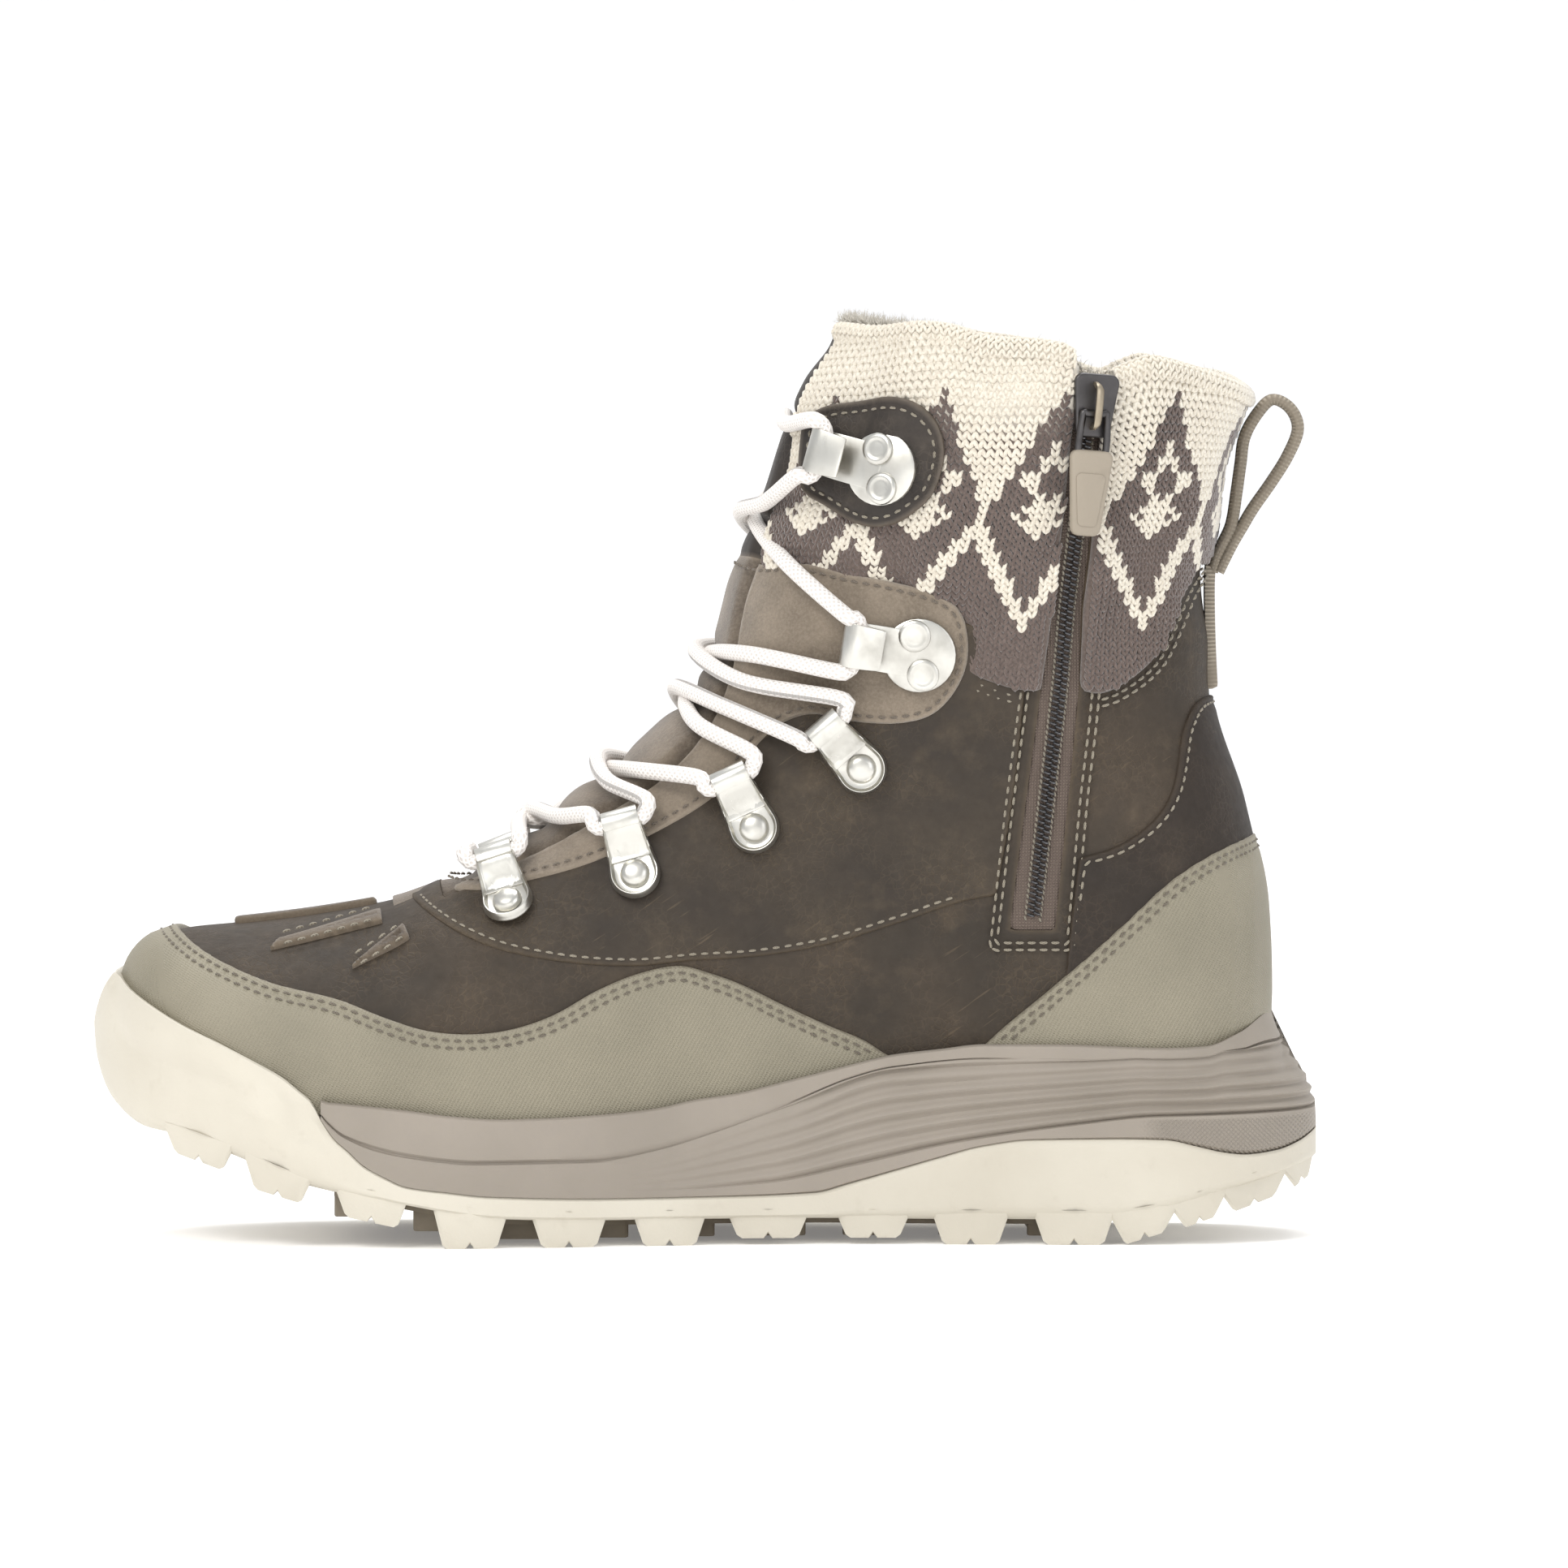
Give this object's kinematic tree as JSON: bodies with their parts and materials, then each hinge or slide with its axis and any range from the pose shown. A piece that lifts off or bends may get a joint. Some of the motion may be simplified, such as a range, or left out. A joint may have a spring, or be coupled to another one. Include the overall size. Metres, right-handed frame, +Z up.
{
  "type": "snow boot",
  "caption": "Right snow boot with laced throat, side zip, knitted cuff and lugged rubber sole, standing empty.",
  "frame": {"origin": "middle of the boot's box on the floor plane under its sole", "axes": "-X towards the toe, +X towards the heel, -Y towards the inner side with the zip, +Z up"},
  "size_m": [0.2798, 0.1035, 0.2087],
  "materials": {
    "cream_rubber": "matt cream rubber",
    "taupe_rubber": "matt taupe rubber",
    "foam": "matt moulded foam",
    "footbed": "felted",
    "leather": "waxed nubuck",
    "dark_leather": "smooth with a raw edge",
    "suede": "napped suede",
    "coated_rand": "coated, with a fine linen grain",
    "knit": "two-colour wool knit",
    "lace": "braided",
    "satin_metal": "satin",
    "gunmetal": "satin dark grey",
    "tape": "woven",
    "webbing": "woven webbing"
  },
  "bodies": {
    "boot": {"outsole": "cream_rubber", "tread_insert": "taupe_rubber", "midsole": "foam", "insole": "footbed", "upper": "leather", "heel_counter": "leather", "hook_patch_medial": "dark_leather", "hook_patch_lateral": "dark_leather", "eyestay_medial": "suede", "eyestay_lateral": "suede", "tongue": "suede", "vamp_slit_ridge": "suede", "vamp_slit_upper_medial": "suede", "vamp_slit_upper_lateral": "suede", "vamp_slit_lower_medial": "suede", "vamp_slit_lower_lateral": "suede", "toe_rand": "coated_rand", "heel_rand": "coated_rand", "cuff": "knit", "cuff_front": "knit", "lace_bar_low": "lace", "lace_bar_top": "lace", "lace_cross_1": "lace", "lace_cross_2": "lace", "lace_cross_3": "lace", "lace_cross_4": "lace", "lace_cross_5": "lace", "eyelet_medial_1": "satin_metal", "eyelet_medial_2": "satin_metal", "eyelet_medial_3": "satin_metal", "eyelet_medial_4": "satin_metal", "eyelet_lateral_1": "satin_metal", "eyelet_lateral_2": "satin_metal", "eyelet_lateral_3": "satin_metal", "eyelet_lateral_4": "satin_metal", "hook_medial_lower": "satin_metal", "hook_medial_upper": "satin_metal", "hook_lateral_lower": "satin_metal", "hook_lateral_upper": "satin_metal", "zip_chain": "gunmetal", "zip_slider": "gunmetal", "zip_tape": "tape", "back_strap": "webbing", "heel_loop": "webbing"},
    "pull_tab": {"zip_pull": "taupe_rubber"}
  },
  "joints": [
    {"name": "pull_hinge", "type": "hinge", "parent": "boot", "child": "pull_tab", "pos_m": [0.08808, -0.04783, 0.18782], "axis": [-0.9728, -0.2204, 0.0713], "range_deg": [0, 150]}
  ]
}
